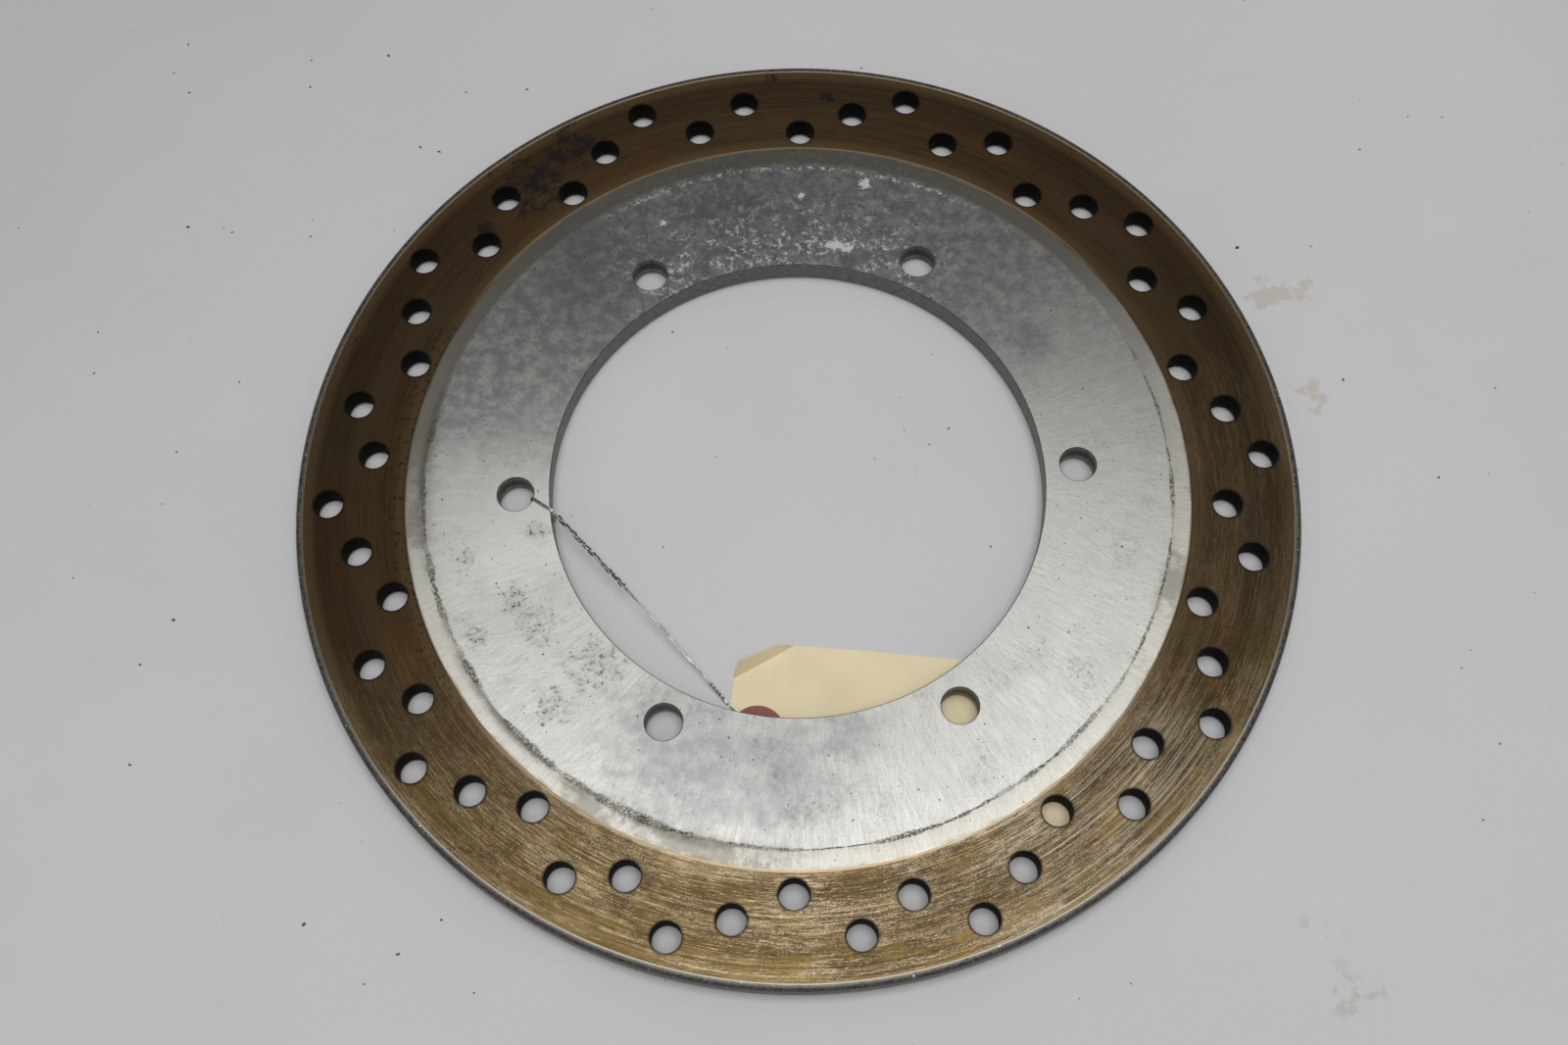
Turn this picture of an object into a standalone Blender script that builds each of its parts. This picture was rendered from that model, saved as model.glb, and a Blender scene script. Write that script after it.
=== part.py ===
"""Motorcycle brake disc rotor with a wired paper tag.

A one-piece steel disc: a flat flange with six bolt holes round a large bore, and a friction band
drilled with ten repeats of five holes. A thin steel tag wire is hitched round the web between one
bolt hole and the bore, and holds a manila tag by its reinforced eyelet. The tag lies under the disc.

Metres, +Z along the disc's axis, origin at the disc's centre, one bolt hole on +X.
"""

import math

import bmesh
import bpy
from mathutils import Vector

MM = 0.001

# Disc
OUTER_RADIUS = 148.0 * MM
BORE_RADIUS = 73.15 * MM
THICKNESS = 7.3 * MM
BAND_INNER_RADIUS = 116.0 * MM
BAND_WEAR = 0.1 * MM
WEAR_RAMP = 0.5 * MM
RIM_CHAMFER = 0.55 * MM
BORE_CHAMFER = 0.25 * MM
TURNED_STEPS = 96

# Bolt holes
BOLT_COUNT = 6
BOLT_CIRCLE_RADIUS = 83.25 * MM
BOLT_HOLE_RADIUS = 5.4 * MM

# Drilled holes: five rows, 4 mm apart, repeated round the band
DRILL_RADIUS = 4.25 * MM
DRILL_REPEATS = 10
INNERMOST_ROW = 122.4 * MM
ROW_STEP = 4.0 * MM
DRILL_PATTERN = (  # row counted from the innermost, angle from the repeat's start in degrees
    (4, 0.0),
    (2, 6.9),
    (0, 14.3),
    (3, 22.1),
    (1, 29.1),
)

# Tag: a card with two clipped corners, and a fibre patch on each side of its eyelet
EYELET = Vector((-15.7, -74.3, 0.0)) * MM
TAG_ANGLE = math.radians(-8.6)
TAG_LENGTH = 108.0 * MM
TAG_WIDTH = 54.0 * MM
EYELET_TO_END = 8.4 * MM
CLIP_ALONG = 8.8 * MM
CLIP_ACROSS = 7.0 * MM
CARD_THICKNESS = 0.3 * MM
PATCH_RADIUS = 8.0 * MM
PATCH_THICKNESS = 0.15 * MM
EYELET_RADIUS = 2.0 * MM
LAYER_GAP = 0.05 * MM
TAG_BOTTOM = -4.95 * MM

# Wire: one soft steel strand, doubled and twisted between the hitch and the tag
STRAND_DIAMETER = 0.42 * MM
TWIST_DIAMETER = 0.95 * MM
HITCH_AXIS = Vector((-75.4, -3.8, 0.0)) * MM
HITCH_ROUTE = (  # round the web, from the bore's wall under the disc and up through the bolt hole
    (-72.00, -6.50, 1.90),
    (-72.35, -6.20, -0.50),
    (-72.40, -6.05, -2.90),
    (-72.50, -5.92, -3.90),
    (-73.50, -5.25, -4.16),
    (-75.50, -3.80, -4.16),
    (-77.50, -2.30, -4.16),
    (-78.48, -1.65, -3.92),
    (-78.62, -1.57, -2.90),
    (-78.66, -1.55, 0.00),
    (-78.62, -1.57, 2.90),
    (-78.48, -1.65, 3.92),
    (-77.50, -2.30, 4.18),
    (-75.50, -3.80, 4.18),
    (-73.20, -5.50, 4.18),
    (-72.10, -6.35, 3.95),
)
STEM_ROUTE = (  # from the bore's edge down to the end of the tag
    (-71.40, -7.20, 3.70),
    (-69.80, -9.20, 3.55),
    (-63.80, -16.40, 3.20),
    (-56.30, -25.20, 2.70),
    (-49.00, -34.00, 1.80),
    (-41.70, -42.90, 0.60),
    (-34.50, -51.90, -0.90),
    (-28.20, -59.70, -2.60),
    (-23.60, -65.60, -4.05),
)
EYE_ROUTE = (  # over the end of the tag and down through its eyelet
    (-22.90, -66.40, -3.96),
    (-21.00, -68.50, -3.95),
    (-18.60, -71.10, -3.95),
    (-16.60, -73.30, -3.98),
    (-15.80, -74.20, -4.30),
    (-15.70, -74.30, -4.88),
)

SEGMENTS_PER_BOLT_HOLE = 24
SEGMENTS_PER_DRILL_HOLE = 16
SEGMENTS_PER_EYELET = 24
SEGMENTS_PER_PATCH = 32


def clear_scene():
    for obj in list(bpy.data.objects):
        bpy.data.objects.remove(obj)


def new_collection(name):
    collection = bpy.data.collections.new(name)
    bpy.context.scene.collection.children.link(collection)
    return collection


def make_material(name, color, roughness, metallic):
    material = bpy.data.materials.new(name)
    material.use_nodes = True
    shader = material.node_tree.nodes["Principled BSDF"]
    shader.inputs["Base Color"].default_value = (*color, 1.0)
    shader.inputs["Roughness"].default_value = roughness
    shader.inputs["Metallic"].default_value = metallic
    return material


def make_pivot(name, place, parent, collection):
    """An empty on a joint's axis, which the moving pieces hang on. It stands at place, in world space."""
    pivot = bpy.data.objects.new(name, None)
    collection.objects.link(pivot)
    pivot.parent = parent
    pivot.location = place - (parent.location if parent else Vector())
    return pivot


def disc_profile():
    """(radius, height) round the disc's section, down its outer side first."""
    face = THICKNESS / 2
    worn = face - BAND_WEAR
    upper = [
        (BORE_RADIUS, face - BORE_CHAMFER),
        (BORE_RADIUS + BORE_CHAMFER, face),
        (BAND_INNER_RADIUS, face),
        (BAND_INNER_RADIUS + WEAR_RAMP, worn),
        (OUTER_RADIUS - RIM_CHAMFER, worn),
        (OUTER_RADIUS, worn - RIM_CHAMFER),
    ]
    lower = [(radius, -height) for radius, height in reversed(upper)]
    return upper + lower


def turned_mesh(name, profile):
    """A closed profile in the XZ plane, as the edges that a Screw turns round Z."""
    mesh = bpy.data.meshes.new(name)
    points = [(radius, 0.0, height) for radius, height in profile]
    edges = [(i, (i + 1) % len(points)) for i in range(len(points))]
    mesh.from_pydata(points, edges, [])
    return mesh


def drill_places():
    """(x, y) of each drilled hole."""
    repeat = 2 * math.pi / DRILL_REPEATS
    for number in range(DRILL_REPEATS):
        for row, degrees in DRILL_PATTERN:
            radius = INNERMOST_ROW + row * ROW_STEP
            angle = number * repeat + math.radians(degrees)
            yield radius * math.cos(angle), radius * math.sin(angle)


def bolt_places():
    for number in range(BOLT_COUNT):
        angle = number * 2 * math.pi / BOLT_COUNT
        yield BOLT_CIRCLE_RADIUS * math.cos(angle), BOLT_CIRCLE_RADIUS * math.sin(angle)


def make_hole_cutter(name, places, radius, segments, collection):
    """One helper mesh with a cylinder at each place, taller than the disc."""
    shape = bmesh.new()
    for x, y in places:
        made = bmesh.ops.create_cone(
            shape,
            cap_ends=True,
            segments=segments,
            radius1=radius,
            radius2=radius,
            depth=2 * THICKNESS,
        )
        turn = math.atan2(y, x) + math.pi / segments
        for vertex in made["verts"]:
            across, along = vertex.co.x, vertex.co.y
            vertex.co.x = x + across * math.cos(turn) - along * math.sin(turn)
            vertex.co.y = y + across * math.sin(turn) + along * math.cos(turn)
    mesh = bpy.data.meshes.new(name)
    shape.to_mesh(mesh)
    shape.free()
    cutter = bpy.data.objects.new(name, mesh)
    cutter.hide_render = True
    cutter.display_type = "WIRE"
    collection.objects.link(cutter)
    return cutter


def cut(obj, cutter):
    modifier = obj.modifiers.new(cutter.name, "BOOLEAN")
    modifier.operation = "DIFFERENCE"
    modifier.solver = "EXACT"
    modifier.object = cutter


def make_disc(parts, cutters):
    disc = bpy.data.objects.new("brake_disc", turned_mesh("brake_disc", disc_profile()))
    parts.objects.link(disc)
    screw = disc.modifiers.new("Turn", "SCREW")
    screw.steps = TURNED_STEPS
    screw.render_steps = TURNED_STEPS
    screw.use_merge_vertices = True
    screw.merge_threshold = 0.00001
    drills = make_hole_cutter(
        "drill_holes", drill_places(), DRILL_RADIUS, SEGMENTS_PER_DRILL_HOLE, cutters
    )
    bolts = make_hole_cutter(
        "bolt_holes", bolt_places(), BOLT_HOLE_RADIUS, SEGMENTS_PER_BOLT_HOLE, cutters
    )
    cut(disc, drills)
    cut(disc, bolts)
    disc.data.materials.append(make_material("disc_steel", (0.42, 0.41, 0.38), 0.35, 1.0))


def smooth_route(points, spacing):
    """Points about spacing apart on a smooth curve through the given points."""
    padded = [2 * points[0] - points[1], *points, 2 * points[-1] - points[-2]]
    route = []
    for before, start, end, after in zip(padded, padded[1:], padded[2:], padded[3:]):
        steps = max(1, round((end - start).length / spacing))
        for step in range(steps):
            t = step / steps
            pull_in = (end - before) / 2
            pull_out = (after - start) / 2
            route.append(
                start * (2 * t**3 - 3 * t**2 + 1)
                + pull_in * (t**3 - 2 * t**2 + t)
                + end * (3 * t**2 - 2 * t**3)
                + pull_out * (t**3 - t**2)
            )
    route.append(points[-1])
    return route


def make_wire(name, route_mm, diameter, spacing, pivot, material, collection):
    """A round wire along a smooth route, its points kept from the pivot."""
    places = [Vector(point) * MM for point in route_mm]
    line = smooth_route(places, spacing)
    curve = bpy.data.curves.new(name, "CURVE")
    curve.dimensions = "3D"
    curve.bevel_depth = diameter / 2
    curve.bevel_resolution = 2
    curve.use_fill_caps = True
    spline = curve.splines.new("POLY")
    spline.points.add(len(line) - 1)
    for point, place in zip(spline.points, line):
        point.co = (*(place - pivot), 1.0)
    wire = bpy.data.objects.new(name, curve)
    curve.materials.append(material)
    collection.objects.link(wire)
    return wire


def circle_points(radius, segments):
    turns = [2 * math.pi * i / segments for i in range(segments)]
    return [(radius * math.cos(turn), radius * math.sin(turn)) for turn in turns]


def card_outline():
    """The card round its eyelet, with its clipped end towards -X."""
    left = -EYELET_TO_END
    right = TAG_LENGTH - EYELET_TO_END
    side = TAG_WIDTH / 2
    return [
        (left, -side + CLIP_ACROSS),
        (left + CLIP_ALONG, -side),
        (right, -side),
        (right, side),
        (left + CLIP_ALONG, side),
        (left, side - CLIP_ACROSS),
    ]


def make_sheet(name, outline, bottom, thickness, material, pivot, collection):
    """A flat piece with the given outline and the eyelet's hole, turned to the tag's angle."""
    curve = bpy.data.curves.new(name, "CURVE")
    curve.dimensions = "2D"
    curve.fill_mode = "BOTH"
    curve.extrude = thickness / 2
    for points in (outline, circle_points(EYELET_RADIUS, SEGMENTS_PER_EYELET)):
        spline = curve.splines.new("POLY")
        spline.points.add(len(points) - 1)
        spline.use_cyclic_u = True
        for point, (x, y) in zip(spline.points, points):
            point.co = (x, y, 0.0, 1.0)
    curve.materials.append(material)
    sheet = bpy.data.objects.new(name, curve)
    sheet.parent = pivot
    sheet.location.z = bottom + thickness / 2
    sheet.rotation_euler.z = TAG_ANGLE
    collection.objects.link(sheet)


def make_wires(pivot, collection):
    material = make_material("wire_steel", (0.5, 0.5, 0.5), 0.3, 1.0)
    pieces = (
        ("wire_hitch", HITCH_ROUTE, STRAND_DIAMETER, 0.6 * MM),
        ("tag_wire", STEM_ROUTE, TWIST_DIAMETER, 2.4 * MM),
        ("wire_eye", EYE_ROUTE, STRAND_DIAMETER, 0.7 * MM),
    )
    for name, route, diameter, spacing in pieces:
        wire = make_wire(name, route, diameter, spacing, HITCH_AXIS, material, collection)
        wire.parent = pivot


def make_tag(pivot, collection):
    manila = make_material("manila_card", (0.66, 0.55, 0.33), 0.8, 0.0)
    fibre = make_material("fibre_patch", (0.27, 0.08, 0.06), 0.75, 0.0)
    card_bottom = TAG_BOTTOM + PATCH_THICKNESS + LAYER_GAP
    front_bottom = card_bottom + CARD_THICKNESS + LAYER_GAP
    round_patch = circle_points(PATCH_RADIUS, SEGMENTS_PER_PATCH)
    sheets = (
        ("tag_patch_back", round_patch, TAG_BOTTOM, PATCH_THICKNESS, fibre),
        ("tag_card", card_outline(), card_bottom, CARD_THICKNESS, manila),
        ("tag_patch_front", round_patch, front_bottom, PATCH_THICKNESS, fibre),
    )
    for name, outline, bottom, thickness, material in sheets:
        make_sheet(name, outline, bottom, thickness, material, pivot, collection)


def main():
    clear_scene()
    parts = new_collection("brake_disc_rotor")
    cutters = new_collection("cutters")
    make_disc(parts, cutters)
    wire_pivot = make_pivot("wire_pivot", HITCH_AXIS, None, parts)
    tag_pivot = make_pivot("tag_pivot", EYELET, wire_pivot, parts)
    make_wires(wire_pivot, parts)
    make_tag(tag_pivot, parts)


main()
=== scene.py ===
"""Looks for the motorcycle brake disc rotor with its wired manila tag.

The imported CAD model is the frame. Lengths are written in millimetres and made metres by MM.
The disc keeps its place and size, and gets a finer surface with worn and stained materials.
Colours are linear RGB. Places on the disc are a radius and an angle in degrees from +X.
"""

import functools
import math
import random

import bmesh
import bpy
from mathutils import Matrix, Vector
from mathutils import noise as perlin


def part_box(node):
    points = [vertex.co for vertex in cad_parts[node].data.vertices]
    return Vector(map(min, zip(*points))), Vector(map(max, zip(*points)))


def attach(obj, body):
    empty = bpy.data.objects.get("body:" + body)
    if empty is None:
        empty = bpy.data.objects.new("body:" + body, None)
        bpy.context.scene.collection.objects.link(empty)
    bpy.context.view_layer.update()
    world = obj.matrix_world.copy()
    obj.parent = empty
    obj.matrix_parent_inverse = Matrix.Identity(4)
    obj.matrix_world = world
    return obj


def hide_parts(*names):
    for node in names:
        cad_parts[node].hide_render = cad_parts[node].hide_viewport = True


MM = 0.001

# ------------ sizes from the CAD frame

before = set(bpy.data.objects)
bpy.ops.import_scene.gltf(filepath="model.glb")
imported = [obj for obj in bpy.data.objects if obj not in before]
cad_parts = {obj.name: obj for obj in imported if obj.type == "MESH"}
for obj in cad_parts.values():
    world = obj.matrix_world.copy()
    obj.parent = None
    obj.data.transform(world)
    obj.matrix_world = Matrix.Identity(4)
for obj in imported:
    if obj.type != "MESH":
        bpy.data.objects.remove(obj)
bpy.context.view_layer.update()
_, disc_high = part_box("brake_disc")
tag_low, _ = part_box("tag_patch_back")
eyelet_low, eyelet_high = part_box("tag_patch_front")

OUTER_RADIUS = disc_high.x / MM
FACE = disc_high.z / MM
FLOOR = tag_low.z / MM
EYELET = (eyelet_low + eyelet_high) / 2 / MM

# ------------ sizes of the disc

BORE_RADIUS = 73.15
BORE_CHAMFER = 0.25
BAND_RADIUS = 116.0
RING_LINE_RADIUS = 110.3
CHALK_LINE_RADIUS = 108.6
BAND_WEAR = 0.1
LIP_RADIUS = 146.0
SHOULDER_START = 146.25
SHOULDER_DROP = 1.3
SHOULDER_STEPS = 7

BOLT_COUNT = 6
BOLT_CIRCLE_RADIUS = 83.25
BOLT_RADIUS = 5.4
BOLT_CHAMFER = 0.22
DRILL_RADIUS = 4.25
DRILL_CHAMFER = 0.28
DRILL_REPEATS = 10
INNERMOST_ROW = 122.4
ROW_STEP = 4.0
# (row, degrees) of each drilled hole in one repeat, with the rows counted outwards from 0.
DRILL_PATTERN = ((4, 0.0), (2, 6.9), (0, 14.3), (3, 22.1), (1, 29.1))

DISC_STEPS = 320
RING_SPACING = 0.3
DISC_CREASE = math.radians(28)
HOLE_SEGMENTS = 40
# Each hole's turn, in segments: it keeps the corners off the disc's own steps.
HOLE_TURN = 0.37

# ------------ sizes of the tag

TAG_ANGLE = math.radians(-8.6)
TAG_LENGTH = 108.0
TAG_WIDTH = 54.0
EYELET_TO_END = 8.4
CARD_CELL = 0.5
CARD_THICKNESS = 0.25
CARD_CREASE = math.radians(35)
# The wire's lift of the card at the eyelet, its reach, and the height of the far edge's wave.
EYELET_LIFT = 0.53
EYELET_LIFT_REACH = 11.0
WAVE_HEIGHT = 0.75
# (side of the card, mm along, mm across) of each clipped corner. The first is the one turned up.
CLIPPED_CORNERS = ((1, 10.9, 5.4), (-1, 8.8, 7.0))
FOLD_START = (-8.55, 15.1)
FOLD_NORMAL = (-0.575, 0.818)
FOLD_TURN = math.radians(58)
FOLD_SOFTNESS = 0.7
PATCH_RADIUS = 7.9
PATCH_THICKNESS = 0.08
EYELET_RADIUS = 2.0

# ------------ sizes of the wire

STRAND = 0.45
# The bound share of the run, the twists in turns a mm, and the extra turns before the tag.
BOUND_SHARE = 0.40
CORE_TWIST = 0.018
BOUND_CORE_TWIST = 0.11
BINDING_TWIST = 0.24
END_TURNS = 2.2
HITCH_ROUTE = (
    (-72.0, -6.5, 1.9), (-72.35, -6.2, -0.5), (-72.4, -6.05, -2.9),
    (-72.5, -5.92, -3.9), (-73.5, -5.25, -4.16), (-75.5, -3.8, -4.16),
    (-77.5, -2.3, -4.16), (-78.48, -1.65, -3.92), (-78.62, -1.57, -2.9),
    (-78.66, -1.55, 0.0), (-78.62, -1.57, 2.9), (-78.48, -1.65, 3.92),
    (-77.5, -2.3, 4.12), (-75.5, -3.8, 4.12), (-73.2, -5.5, 4.12),
    (-72.1, -6.35, 3.95),
)
STEM_ROUTE = (
    (-71.4, -7.2, 3.7), (-69.8, -9.2, 3.55), (-63.8, -16.4, 3.2),
    (-56.3, -25.2, 2.7), (-49.0, -34.0, 1.8), (-41.7, -42.9, 0.6),
    (-34.5, -51.9, -0.9), (-28.2, -59.7, -2.6), (-23.6, -65.6, -4.05),
)
EYE_ROUTE = (
    (-22.9, -66.4, -3.96), (-21.0, -68.5, -3.9), (-18.6, -71.1, -3.88),
    (-16.8, -73.1, -3.9), (-16.1, -73.85, -4.1), (-16.0, -73.95, -4.28),
    (-16.1, -73.85, -4.46), (-16.8, -73.1, -4.66), (-18.6, -71.1, -4.67),
    (-21.0, -68.5, -4.67), (-22.9, -66.4, -4.35),
)

# ------------ sizes of the stage

# (name, place in metres, size in metres, watts) of each lamp.
PANELS = (
    ("ceiling_panel", (0.064, -0.071, 1.7), (1.03, 0.86), 14.9),
    ("front_panel", (0.0, -0.72, 1.7), (0.97, 0.55), 3.7),
)
WALL_LIGHT = 0.24
CEILING_LIGHT = 0.025
# Upward part of the direction where the walls' light ends, and where the dim ceiling starts.
WALL_TOP = 0.80
CEILING_START = 0.965
FLOOR_HALF_SIDE = 2500.0
# (x, y, size) of the floor's drips.
FLOOR_STAINS = ((151, 58, 10), (165, 60, 8), (158, 22, 8), (133, -141, 9), (141, -155, 10))


# ------------ shader nodes


class Graph:
    """One material's nodes, joined as they are made. Places are in the part's frame, in millimetres."""

    def __init__(self, name):
        self.material = bpy.data.materials.new(name)
        self.material.use_nodes = True
        self.tree = self.material.node_tree
        self.shader = self.tree.nodes["Principled BSDF"]

    def add(self, kind, **settings):
        node = self.tree.nodes.new(kind)
        for key, value in settings.items():
            setattr(node, key, value)
        return node

    def feed(self, socket, value):
        """Links another socket to this one, or sets its value. A tuple is a colour."""
        if isinstance(value, bpy.types.NodeSocket):
            self.tree.links.new(value, socket)
        elif isinstance(value, tuple):
            socket.default_value = (*value, 1.0)
        else:
            socket.default_value = value

    def math(self, operation, *values):
        node = self.add("ShaderNodeMath", operation=operation)
        for socket, value in zip(node.inputs, values):
            self.feed(socket, value)
        return node.outputs[0]

    def product(self, *values):
        return functools.reduce(lambda a, b: self.math("MULTIPLY", a, b), values)

    def highest(self, *values):
        return functools.reduce(lambda a, b: self.math("MAXIMUM", a, b), values)

    def minus(self, a, b):
        return self.math("SUBTRACT", a, b)

    def scaled(self, value, factor, plus):
        """value times factor, plus a third value."""
        return self.math("MULTIPLY_ADD", value, factor, plus)

    def length(self, x, y):
        """Length of a flat vector."""
        return self.math("SQRT", self.scaled(y, y, self.product(x, x)))

    def vector(self, x, y, z):
        node = self.add("ShaderNodeCombineXYZ")
        for socket, value in zip(node.inputs, (x, y, z)):
            self.feed(socket, value)
        return node.outputs[0]

    def noise(self, vector, scale=1.0, detail=2.0, roughness=0.5):
        node = self.add("ShaderNodeTexNoise")
        self.feed(node.inputs["Vector"], vector)
        node.inputs["Scale"].default_value = scale
        node.inputs["Detail"].default_value = detail
        node.inputs["Roughness"].default_value = roughness
        return node.outputs[0]

    def step(self, value, low, high, to_low=0.0, to_high=1.0):
        """A smooth step from to_low to to_high as value goes from low to high."""
        node = self.add("ShaderNodeMapRange", interpolation_type="SMOOTHSTEP")
        for socket, item in zip(node.inputs, (value, low, high, to_low, to_high)):
            self.feed(socket, item)
        return node.outputs[0]

    def mix(self, factor, a, b):
        node = self.add("ShaderNodeMix", data_type="RGBA")
        self.feed(node.inputs[0], factor)
        self.feed(node.inputs[6], a)
        self.feed(node.inputs[7], b)
        return node.outputs[2]

    def coat(self, under, color, *masks):
        """color over what is under it, as strongly as the product of the masks and strengths."""
        return self.mix(self.product(*masks), under, color)

    def place(self):
        """(x, y, z) in millimetres, in the piece's own rest place."""
        split = self.add("ShaderNodeSeparateXYZ")
        self.feed(split.inputs[0], self.add("ShaderNodeTexCoord").outputs["Object"])
        return [self.product(socket, 1.0 / MM) for socket in split.outputs]

    def bump(self, height, distance_mm, strength=1.0):
        node = self.add("ShaderNodeBump")
        node.inputs["Strength"].default_value = strength
        node.inputs["Distance"].default_value = distance_mm * MM
        self.feed(node.inputs["Height"], height)
        self.feed(self.shader.inputs["Normal"], node.outputs[0])

    def brush(self, amount, rotation):
        """Highlights stretched by grinding marks that follow the disc's axis."""
        self.shader.inputs["Anisotropic"].default_value = amount
        self.shader.inputs["Anisotropic Rotation"].default_value = rotation
        tangent = self.add("ShaderNodeTangent", direction_type="RADIAL", axis="Z")
        self.feed(self.shader.inputs["Tangent"], tangent.outputs[0])

    def surface(self, color, roughness, metallic):
        self.feed(self.shader.inputs["Base Color"], color)
        self.feed(self.shader.inputs["Roughness"], roughness)
        self.feed(self.shader.inputs["Metallic"], metallic)
        return self.material


class DiscGraph(Graph):
    """A material of the disc, with radius and angle round its axis, and masks that follow them."""

    def __init__(self, name):
        super().__init__(name)
        self.x, self.y, self.z = self.place()
        self.radius = self.length(self.x, self.y)
        self.angle = self.math("ARCTAN2", self.y, self.x)

    def ring_noise(self, per_turn, per_mm, twist=0.0, shift=0.0, **settings):
        """Seamless noise: per_turn cells of angle, per_mm cells of radius, slanted by twist radians a mm."""
        angle = self.scaled(self.radius, twist, self.angle)
        reach = per_turn / math.tau
        return self.noise(
            self.vector(
                self.product(self.math("COSINE", angle), reach),
                self.product(self.math("SINE", angle), reach),
                self.scaled(self.radius, per_mm, shift),
            ),
            **settings,
        )

    def flat_noise(self, cell_mm, shift=0.0, **settings):
        """Noise over x and y, in cells of about cell_mm."""
        return self.noise(self.vector(self.x, self.y, shift * cell_mm), scale=1.0 / cell_mm, **settings)

    def off_radius(self, radius):
        """Distance in mm from a circle round the axis."""
        return self.math("ABSOLUTE", self.minus(self.radius, radius))

    def sector(self, middle_degrees, half_width_degrees, soft_degrees):
        """1 inside a sector of the disc, 0 outside it, with soft sides."""
        turned = self.minus(self.angle, math.radians(middle_degrees))
        away = self.math("WRAP", turned, math.pi, -math.pi)
        return self.step(
            self.math("ABSOLUTE", away),
            math.radians(half_width_degrees + soft_degrees),
            math.radians(half_width_degrees),
        )

    def spot(self, radius, degrees, size, ragged=0.5, cell=2.5, soft=0.35):
        """1 in a ragged spot about size mm across its radius, at a place given by radius and angle."""
        turn = math.radians(degrees)
        off_x = self.minus(self.x, radius * math.cos(turn))
        off_y = self.minus(self.y, radius * math.sin(turn))
        away = self.math("DIVIDE", self.length(off_x, off_y), size)
        rough = self.flat_noise(cell, shift=degrees, detail=4.0, roughness=0.65)
        away = self.scaled(rough, 4 * ragged, self.minus(away, 2 * ragged))
        return self.step(away, 1.1, 1.1 - soft)

    def spots(self, places, **settings):
        """The union of several spots."""
        return self.highest(*(self.spot(*place, **settings) for place in places))

    def hole_distance(self):
        """Distance in mm to the nearest drilled hole's centre."""
        repeat = math.tau / DRILL_REPEATS
        nearest = OUTER_RADIUS
        for row, degrees in DRILL_PATTERN:
            row_radius = INNERMOST_ROW + row * ROW_STEP
            turned = self.minus(self.angle, math.radians(degrees))
            along = self.product(self.math("WRAP", turned, repeat / 2, -repeat / 2), row_radius)
            apart = self.minus(self.radius, row_radius)
            nearest = self.math("MINIMUM", nearest, self.length(along, apart))
        return nearest

    def ends(self):
        """1 towards the disc's near and far ends, 0 at its sides: where the step at the band's inner edge is
        painted as lit.
        """
        return self.step(self.math("ABSOLUTE", self.y), 50.0, 90.0)


# ------------ materials of the flange

# (radius, degrees, size) of the stains.
COLLAR_STAINS = ((113, 170, 20), (112.5, 184, 9), (112.5, 236, 9), (112.5, 253, 25), (113, 340, 12))
CHALK_SPOTS = ((105, 75, 1.9), (81.5, 78.4, 2.4), (80.5, 75.5, 1.6), (98, 112.4, 1.1), (98, 86, 1))
GREY_STAINS = ((91, 248, 28), (90, 264, 23), (80, 277, 11), (86, 238, 16))
FAR_STAINS = ((100, 128, 26), (98, 100, 20), (84, 30, 9))
BROWN_STAINS = (
    (90, 201.5, 5), (87, 208, 7), (81, 222, 9.5), (100, 191, 4),
    (78, 189, 4.5), (98, 222, 6), (104, 205, 4),
)

STEEL_DULL = (0.352, 0.349, 0.325)
STEEL_BRIGHT = (0.456, 0.453, 0.426)
STEEL_CLOUD = (0.36, 0.37, 0.355)
STEEL_DARK_GRAIN = (0.21, 0.205, 0.19)
STEEL_LIGHT_GRAIN = (0.62, 0.615, 0.59)
STEEL_CLEAN = (0.60, 0.595, 0.57)
GREY_MOTTLE = (0.19, 0.20, 0.215)
GREY_STAIN = (0.215, 0.220, 0.232)
BROWN_DIRT = (0.075, 0.062, 0.040)
PIT = (0.05, 0.032, 0.02)
CHALK = (0.58, 0.59, 0.56)
COLLAR_YELLOW = (0.40, 0.37, 0.28)
COLLAR_FAR_SHADE = (0.175, 0.162, 0.137)
COLLAR_RIDGE_HIGHLIGHT = (0.60, 0.56, 0.46)
COLLAR_DIRT = (0.175, 0.168, 0.140)
LINE_DIRT_AND_SHADE = (0.060, 0.054, 0.040)
BAND_CREEP = (0.17, 0.115, 0.055)


def brush_lines(g):
    """Fine lines along the disc's radius, with a second set that crosses them here and there."""
    fine = g.ring_noise(1300, 0.16, detail=3.0, roughness=0.7)
    broad = g.ring_noise(430, 0.10, shift=60.0, detail=2.0)
    crossing = g.ring_noise(1000, 0.20, twist=0.0050, shift=40.0, detail=3.0, roughness=0.7)
    crossed = g.step(g.flat_noise(24.0, shift=21.0, detail=3.0), 0.46, 0.60)
    lines = g.scaled(broad, 0.18, g.product(fine, 0.82))
    mixed = g.product(crossed, g.minus(crossing, lines))
    return g.scaled(mixed, 0.65, lines)


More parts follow.
